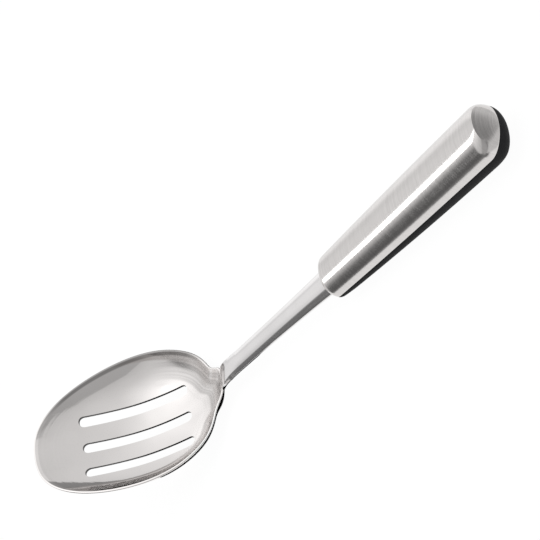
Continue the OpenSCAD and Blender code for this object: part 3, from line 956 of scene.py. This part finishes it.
def make_grip(form, finish):
    """The soft lower half, which closes round the butt under the shell's edge."""
    h = form.handle

    def stations(t):
        butt = h.length - h.under_butt
        return front_stations(t, h.under_front, butt) + end_stations(butt, h.length - t, BUTT_STEPS)

    def edge(s):
        return form.split_at(s) - h.gap

    def arc(s, t):
        return half_oval(s, -form.side_at(s, t), h.gap - form.under_at(s, t), edge(s), UNDER_POWER,
                         0 if t else min(h.grip_lip, form.side_at(s, t) / 2))

    obj = half_piece(form, "grip_soft", soft_grip(form, finish), stations, arc, h.grip_wall, edge)
    creased(obj, GRIP_CREASE)
    dressed(obj, "grip_insert")


# Stage.

CAMERA_MIDDLE = (0.000296, 0, 0.010245)
CAMERA_BACK = (0.64759, -0.53393, 0.54363)
CAMERA_UP = (0.50591, 0.83479, 0.21722)
CAMERA_DISTANCE = 2.5
CAMERA_LENS = 385.8
CAMERA_SENSOR = 36
CAMERA_SHIFT = (-0.05179, 0.06719)

WHITE = (1, 1, 1, 1)
FLOOR_REACH = 3.0
FLOOR_GLOW = 1.03
FLOOR_SHARE = 0.94
KEY_PLACE = (-0.2, 0.2, 1.4)
KEY_SIZE = 1.2

# A black card on the floor under and behind the bowl, painted shade for the shade under it, which
# shows only in metal that is nearer to it than its reach: its two places in x, two in y, and height
SHADE_CARD = ((-0.26, -0.04), (-0.036, 0.1), 0.0003)
SHADE_REACH = 0.03

# Brightness of the studio as metal mirrors it, on a scale of which 1 stands for STUDIO_GAIN. Turns
# go round the horizon from the handle's end, by the tip at a half, and back. The sky lightens from
# a skyline up to the zenith, times a factor for its sides, and below the skyline it is gloomy.
# Nearer walls stand in a part of the turn. Each pair is a place on a ramp and its value there.
STUDIO_GAIN = 1.6
SKYLINE = ((0, 0.64), (0.09, 0.62), (0.24, 0.45), (0.32, 0.2), (0.37, 0.05), (0.66, 0.1),
           (0.7, 0.13), (0.76, 0.2), (0.81, 0.28), (0.86, 0.45), (0.94, 0.61), (1, 0.64))
SKYLINE_BLUR = 0.008
GLOOM = ((0, 0.25), (0.24, 0.28), (0.35, 0.3), (0.66, 0.2), (0.75, 0.16), (0.83, 0.19), (1, 0.25))
SKY = ((0, 0.42), (0.31, 0.48), (0.46, 0.5), (0.6, 0.53), (0.71, 0.57), (0.83, 0.63), (0.92, 0.69),
       (1, 0.8))
SKY_SIDES = ((0, 0.94), (0.05, 0.92), (0.17, 0.86), (0.35, 0.9), (0.45, 1), (0.62, 1.07), (0.69, 1.17),
             (0.78, 1.08), (0.9, 1), (1, 0.94))
WALLS = ((0.29, 0.22), (0.33, 0.12), (0.375, 0.07), (0.4, 0.1), (0.42, 0.24), (0.437, 0.34),
         (0.456, 0.44), (0.478, 0.5), (0.5, 0.54), (0.53, 0.57), (0.603, 0.57), (0.612, 0.53),
         (0.622, 0.5), (0.632, 0.7), (0.68, 0.68), (0.71, 0.5))
WALL_TURNS = ((0.27, 0), (0.3, 1), (0.67, 1), (0.71, 0))
WALL_TOPS = ((0.28, 0.15), (0.34, 0.22), (0.364, 0.38), (0.386, 0.64), (0.4, 0.7), (0.42, 0.75),
             (0.45, 0.78), (0.5, 0.8), (0.6, 0.8), (0.66, 0.7))
WALL_BLUR = 0.04

# A softbox over the handle that lights the shell alone: its middle and size, along, across and
# above the handle's axis
SOFTBOX_MIDDLE = (-0.37, 0.012, 0.483)
SOFTBOX_SIZE = (0.4, 0.166)
SOFTBOX_POWER = 0.46

# Dim stretches of floor that show only in metal, on the handle's near side and behind its butt:
# their two places in x and two in y, the axis along which their glow changes, and two places on it
# with the glow at each
DIM_LIFT = 0.0002
DIM_FLOORS = {
    "dim_near": ((-FLOOR_REACH, 0.165), (-FLOOR_REACH, -0.045), 1, (-0.1, -0.06, 0.2, 1.0)),
    "dim_butt": ((0.165, FLOOR_REACH), (-FLOOR_REACH, FLOOR_REACH), 0, (0.22, 0.31, 0.7, 0.27)),
}


def make_camera():
    """The camera at the photograph's viewing angle and frame."""
    data = bpy.data.cameras.new("camera")
    data.sensor_width, data.lens = CAMERA_SENSOR, CAMERA_LENS
    data.shift_x, data.shift_y = CAMERA_SHIFT
    camera = new_object("camera", data)
    back = Vector(CAMERA_BACK).normalized()
    right = Vector(CAMERA_UP).cross(back).normalized()
    up = back.cross(right)
    turn = Matrix((right, up, back)).transposed().to_4x4()
    camera.matrix_world = Matrix.Translation(Vector(CAMERA_MIDDLE) + back * CAMERA_DISTANCE) @ turn
    bpy.context.scene.camera = camera


def shown(graph):
    """1 for the rays that show the surroundings: the camera's, and mirrored and refracted ones."""
    seen = graph.node("ShaderNodeLightPath", output="Is Camera Ray")
    return graph.math("MINIMUM", seen + mirrored_rays(seen), 1)


def mirrored_rays(light_path):
    """1 for mirrored and refracted rays, from any output of a Light Path node."""
    both = light_path.also("Is Glossy Ray") + light_path.also("Is Transmission Ray")
    return light_path.graph.math("MINIMUM", both, 1)


def level_rectangle(name, x, y, z, material):
    """A level rectangle between two places in x and two in y."""
    corners = [(x[i], y[j], z) for i, j in ((0, 0), (1, 0), (1, 1), (0, 1))]
    return mesh_object(name, corners, [(0, 1, 2, 3)], material)


def make_floor(stage):
    """A pale floor that takes the spoon's shadow and shows white."""
    s = Surface("pale_floor")
    matte = s.node("ShaderNodeBsdfDiffuse", None, {"Color": rgba(stage.floor)})
    glow = s.node("ShaderNodeEmission", None, {"Color": WHITE, "Strength": FLOOR_GLOW})
    both = s.node("ShaderNodeMixShader", None, {0: shown(s) * FLOOR_SHARE, 1: matte, 2: glow})
    s.node("ShaderNodeOutputMaterial", None, {"Surface": both})
    reach = (-FLOOR_REACH, FLOOR_REACH)
    floor = level_rectangle("floor", reach, reach, 0, s.material)


def lay_card(s, light, x, y, z):
    """Ends a card's material in its light, and lays the card so that only metal shows it."""
    s.node("ShaderNodeOutputMaterial", None, {"Surface": light})
    card = level_rectangle(s.material.name, x, y, z, s.material)
    card.visible_camera = card.visible_diffuse = card.visible_shadow = False


def make_shade_card():
    """The black card of painted shade under the bowl, clear for all that mirrors it from further than
    its reach.
    """
    s = Surface("painted_shade_card")
    black = s.node("ShaderNodeEmission", None, {"Color": WHITE, "Strength": 0.0})
    clear = s.node("ShaderNodeBsdfTransparent")
    far = s.math("GREATER_THAN", s.node("ShaderNodeLightPath", output="Ray Length"), SHADE_REACH)
    lay_card(s, s.node("ShaderNodeMixShader", None, {0: far, 1: black, 2: clear}), *SHADE_CARD)


def make_dim_floor(name, x, y, axis, glow):
    """A card on the floor whose glow changes along one axis."""
    s = Surface(name)
    across = s.node("ShaderNodeSeparateXYZ", None, {0: s.place}, output=axis)
    light = s.node("ShaderNodeEmission", None, {"Color": WHITE, "Strength": s.span(across, *glow)})
    lay_card(s, light, x, y, DIM_LIFT)


def make_lights(stage):
    """The studio that metal mirrors, a plain world for all else, and the lamp overhead."""
    scene = bpy.context.scene
    world = bpy.data.worlds.new("studio")
    scene.world = world
    world.use_nodes = True
    world.node_tree.nodes.clear()
    g = Graph(world.node_tree)
    view = g.node("ShaderNodeTexCoord", output="Generated")
    x = g.node("ShaderNodeSeparateXYZ", None, {0: view})
    y, z = x.also(1), x.also(2)
    turn = g.math("ARCTAN2", y, -x) / (2 * math.pi) + 0.5

    def ramp(stops, value):
        return g.node("ShaderNodeValToRGB", {"stops": stops}, {0: value})

    def over(line, blur):
        """How far the view is above a line, from 0 below it to 1 above it."""
        return g.node("ShaderNodeMapRange", {"interpolation_type": "SMOOTHSTEP"}, {
            "Value": z - line, "From Min": -blur, "From Max": blur})

    skyline = ramp(SKYLINE, turn)
    open_sky = over(skyline, SKYLINE_BLUR)
    sky = (ramp(SKY, (z - skyline) / (1 - skyline)) * ramp(SKY_SIDES, turn) * open_sky
           + ramp(GLOOM, turn) * (1 - open_sky))
    walls = ramp(WALL_TURNS, turn) * (1 - over(ramp(WALL_TOPS, turn), WALL_BLUR))
    studio = (sky * (1 - walls) + ramp(WALLS, turn) * walls) * STUDIO_GAIN
    seen = g.node("ShaderNodeLightPath", output="Is Camera Ray")
    mirrored = mirrored_rays(seen)
    strength = seen + mirrored * (1 - seen) * studio + (1 - seen) * (1 - mirrored) * stage.world
    light = g.node("ShaderNodeBackground", None, {"Color": WHITE, "Strength": strength})
    g.node("ShaderNodeOutputWorld", None, {"Surface": light})
    lamp = bpy.data.lights.new("key", "AREA")
    lamp.shape, lamp.energy = "SQUARE", stage.key
    lamp.size = KEY_SIZE
    obj = new_object("key", lamp)
    obj.matrix_world = Matrix.Translation(KEY_PLACE)
    obj.visible_glossy = False
    scene.view_settings.view_transform = "Standard"


def make_softbox(form):
    """The lamp that gives the shell its long highlight."""
    lamp = bpy.data.lights.new("softbox", "AREA")
    lamp.shape, lamp.energy = "RECTANGLE", SOFTBOX_POWER
    lamp.size, lamp.size_y = SOFTBOX_SIZE
    obj = new_object("softbox", lamp)
    obj.matrix_world = form.handle_matrix() @ Matrix.Translation(SOFTBOX_MIDDLE)
    lit = bpy.data.collections.new("lit_by_softbox")
    lit.objects.link(bpy.data.objects["shell_brushed"])
    obj.light_linking.receiver_collection = lit


# Operators.

def made_form(context):
    """The spoon's form and finishes from the scene's settings."""
    settings = context.scene.spoon
    return Form(settings), settings.finish


class SPOON_OT_bowl(bpy.types.Operator):
    """Make the polished bowl with its punched slots"""
    bl_idname = "spoon.bowl"
    bl_label = "Make the bowl"

    def execute(self, context):
        make_bowl(*made_form(context))
        return {"FINISHED"}


class SPOON_OT_shaft(bpy.types.Operator):
    """Make the satin shaft"""
    bl_idname = "spoon.shaft"
    bl_label = "Make the shaft"

    def execute(self, context):
        make_shaft(*made_form(context))
        return {"FINISHED"}


class SPOON_OT_handle(bpy.types.Operator):
    """Make the brushed shell and the soft grip, and finish the core between them"""
    bl_idname = "spoon.handle"
    bl_label = "Make the handle"

    def execute(self, context):
        form, finish = made_form(context)
        make_shell(form, finish)
        make_grip(form, finish)
        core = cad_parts["handle_core"]
        core.data.materials.clear()
        core.data.materials.append(core_plastic(finish))
        return {"FINISHED"}


class SPOON_OT_stage(bpy.types.Operator):
    """Make the camera, the floor and the light"""
    bl_idname = "spoon.stage"
    bl_label = "Make the stage"

    def execute(self, context):
        form = made_form(context)[0]
        stage = context.scene.spoon.stage
        make_camera()
        make_floor(stage)
        make_shade_card()
        for name, floor in DIM_FLOORS.items():
            make_dim_floor(name, *floor)
        make_lights(stage)
        make_softbox(form)
        return {"FINISHED"}


OPERATORS = (SPOON_OT_bowl, SPOON_OT_shaft, SPOON_OT_handle, SPOON_OT_stage)


class SPOON_PT_panel(bpy.types.Panel):
    """The spoon's pieces, in the order in which they are made"""
    bl_idname = "SPOON_PT_panel"
    bl_label = "Slotted Serving Spoon"
    bl_space_type = "VIEW_3D"
    bl_region_type = "UI"
    bl_category = "Spoon"

    def draw(self, context):
        for operator in OPERATORS:
            self.layout.operator(operator.bl_idname)


CLASSES = (SPOON_PG_bowl, SPOON_PG_shaft, SPOON_PG_handle, SPOON_PG_finish, SPOON_PG_stage,
           SPOON_PG_settings, *OPERATORS, SPOON_PT_panel)


def register():
    for cls in CLASSES:
        bpy.utils.register_class(cls)
    bpy.types.Scene.spoon = PointerProperty(type=SPOON_PG_settings)


def unregister():
    del bpy.types.Scene.spoon
    for cls in reversed(CLASSES):
        bpy.utils.unregister_class(cls)


def main():
    """Makes the pieces and the stage in order."""
    register()
    bpy.ops.spoon.bowl()
    bpy.ops.spoon.shaft()
    bpy.ops.spoon.handle()
    bpy.ops.spoon.stage()


if __name__ == "__main__":
    main()
